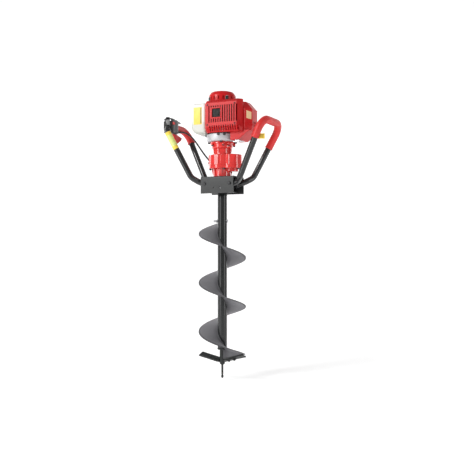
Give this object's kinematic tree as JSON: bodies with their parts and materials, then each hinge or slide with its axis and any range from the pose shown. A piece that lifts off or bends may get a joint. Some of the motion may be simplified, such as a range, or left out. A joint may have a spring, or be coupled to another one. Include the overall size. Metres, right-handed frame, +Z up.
{
  "type": "powered ice auger",
  "caption": "Hand-held engine-driven auger: engine, clutch and reduction gearbox between two looped handles turn a helical bit with cutting blades to bore holes in ice.",
  "frame": {"origin": "tip of the pilot point, on the spin axis of the bit", "axes": "+Z up along the spin axis towards the engine, -Y towards the muffler side, which is the front, +X towards the cylinder"},
  "size_m": [0.49, 0.2188, 1.207],
  "materials": {
    "tube_black": "satin",
    "flight_steel": "satin",
    "blade_steel": "satin",
    "bracket_black": "satin",
    "black_bolt": "satin",
    "bright_steel": "satin",
    "gear_steel": "satin",
    "seal_rubber": "matte",
    "clutch_iron": "matte",
    "gearbox_red": "gloss",
    "cover_red": "gloss",
    "grip_red": "satin",
    "trigger_red": "gloss",
    "black_plastic": "satin",
    "cast_aluminium": "satin",
    "tank_white": "satin",
    "muffler_steel": "matte",
    "cable_black": "satin",
    "rope_white": "matte",
    "bulb_clear": "satin"
  },
  "bodies": {
    "powerhead": {"mounting_bracket": "bracket_black", "bracket_base_plate": "bracket_black", "handle_bolts": "black_bolt", "handle_nuts": "bright_steel", "handle_tube_left": "tube_black", "handle_tube_right": "tube_black", "grip_left": "grip_red", "grip_right": "grip_red", "throttle_housing_front": "black_plastic", "throttle_housing_rear": "black_plastic", "throttle_cable": "cable_black", "gearbox_base": "gearbox_red", "gearbox_case": "gearbox_red", "output_bearings": "bright_steel", "lay_bearings": "bright_steel", "input_bearings": "bright_steel", "output_seal": "seal_rubber", "clutch_housing": "gearbox_red", "fan_case": "cast_aluminium", "crankcase": "cast_aluminium", "cylinder_barrel": "cast_aluminium", "spark_plug": "cable_black", "starter_cover": "cover_red", "muffler_cover": "cover_red", "muffler": "muffler_steel", "engine_shroud": "cover_red", "cooling_duct": "cover_red", "stay_plate": "cast_aluminium", "fuel_tank": "tank_white", "carburettor": "cast_aluminium", "air_filter_cover": "black_plastic", "case_screws": "black_bolt"},
    "auger_bit": {"auger_tube": "tube_black", "cutter_head": "flight_steel", "pilot_point": "blade_steel", "flight": "flight_steel", "cutting_blades": "blade_steel", "blade_bolts": "black_bolt", "drive_spindle": "bright_steel", "shaft_cross_bolt": "black_bolt", "cross_bolt_nut": "black_bolt", "output_shaft": "bright_steel", "output_gear": "gear_steel"},
    "lay_shaft_assembly": {"lay_shaft": "bright_steel", "lay_gear_cluster": "gear_steel"},
    "clutch_output": {"input_pinion_shaft": "gear_steel", "clutch_drum": "clutch_iron"},
    "crank_assembly": {"crankshaft": "bright_steel", "flywheel_fan": "cast_aluminium", "clutch_shoes": "clutch_iron"},
    "piston": {"piston": "cast_aluminium"},
    "trigger": {"throttle_trigger": "trigger_red"},
    "lockout": {"lockout_lever": "black_plastic"},
    "stop_switch": {"ignition_switch": "trigger_red"},
    "fuel_cap": {"fuel_cap": "black_plastic"},
    "choke": {"choke_lever": "black_plastic"},
    "primer": {"primer_bulb": "bulb_clear"},
    "starter_pulley": {"starter_pulley": "black_plastic"},
    "pull_handle": {"starter_handle": "black_plastic", "starter_rope": "rope_white"}
  },
  "joints": [
    {"name": "auger_spin", "type": "hinge", "parent": "powerhead", "child": "auger_bit", "pos_m": [0, 0, 0.4], "axis": [0, 0, 1], "continuous": true},
    {"name": "lay_shaft_spin", "type": "hinge", "parent": "powerhead", "child": "lay_shaft_assembly", "pos_m": [0.045, 0, 0.91], "axis": [0, 0, 1], "continuous": true},
    {"name": "clutch_output_spin", "type": "hinge", "parent": "powerhead", "child": "clutch_output", "pos_m": [0, 0, 0.95], "axis": [0, 0, 1], "continuous": true},
    {"name": "crank_spin", "type": "hinge", "parent": "powerhead", "child": "crank_assembly", "pos_m": [0, 0, 1.07], "axis": [0, 0, 1], "continuous": true},
    {"name": "piston_stroke", "type": "slide", "parent": "powerhead", "child": "piston", "axis": [-1, 0, 0], "range_m": [0, 0.034]},
    {"name": "throttle_squeeze", "type": "hinge", "parent": "powerhead", "child": "trigger", "pos_m": [-0.226, -0.03, 1.0455], "axis": [1, 0, 0], "range_deg": [0, 12], "stiffness_Nm_per_rad": 0.4, "springref_deg": -20.05},
    {"name": "lockout_press", "type": "hinge", "parent": "powerhead", "child": "lockout", "pos_m": [-0.226, -0.029, 1.098], "axis": [-1, 0, 0], "range_deg": [0, 7], "stiffness_Nm_per_rad": 0.25, "springref_deg": -17.19},
    {"name": "stop_switch_slide", "type": "slide", "parent": "powerhead", "child": "stop_switch", "axis": [0, 1, 0], "range_m": [0, 0.006]},
    {"name": "fuel_cap_turn", "type": "hinge", "parent": "powerhead", "child": "fuel_cap", "pos_m": [-0.076, 0.047, 1.144], "axis": [0, 0.7071, 0.7071], "range_deg": [0, 540]},
    {"name": "choke_turn", "type": "hinge", "parent": "powerhead", "child": "choke", "pos_m": [-0.0165, 0.086, 1.09], "axis": [-1, 0, 0], "range_deg": [0, 70]},
    {"name": "primer_press", "type": "slide", "parent": "powerhead", "child": "primer", "axis": [1, 0, 0], "range_m": [0, 0.004], "stiffness_N_per_m": 300, "springref_m": -0.003},
    {"name": "starter_pull", "type": "slide", "parent": "powerhead", "child": "pull_handle", "axis": [0, 1, 0], "range_m": [0, 0.75], "stiffness_N_per_m": 10, "springref_m": -0.5},
    {"name": "starter_pulley_spin", "type": "hinge", "parent": "powerhead", "child": "starter_pulley", "pos_m": [0, 0, 1.178], "axis": [0, 0, 1], "range_deg": [-1440, 0]}
  ],
  "couplings": [
    {"joint": "lay_shaft_spin", "follows": "auger_spin", "ratio": -4},
    {"joint": "clutch_output_spin", "follows": "auger_spin", "ratio": 23.692},
    {"joint": "starter_pulley_spin", "follows": "starter_pull", "rad_per_m": -33.333}
  ]
}
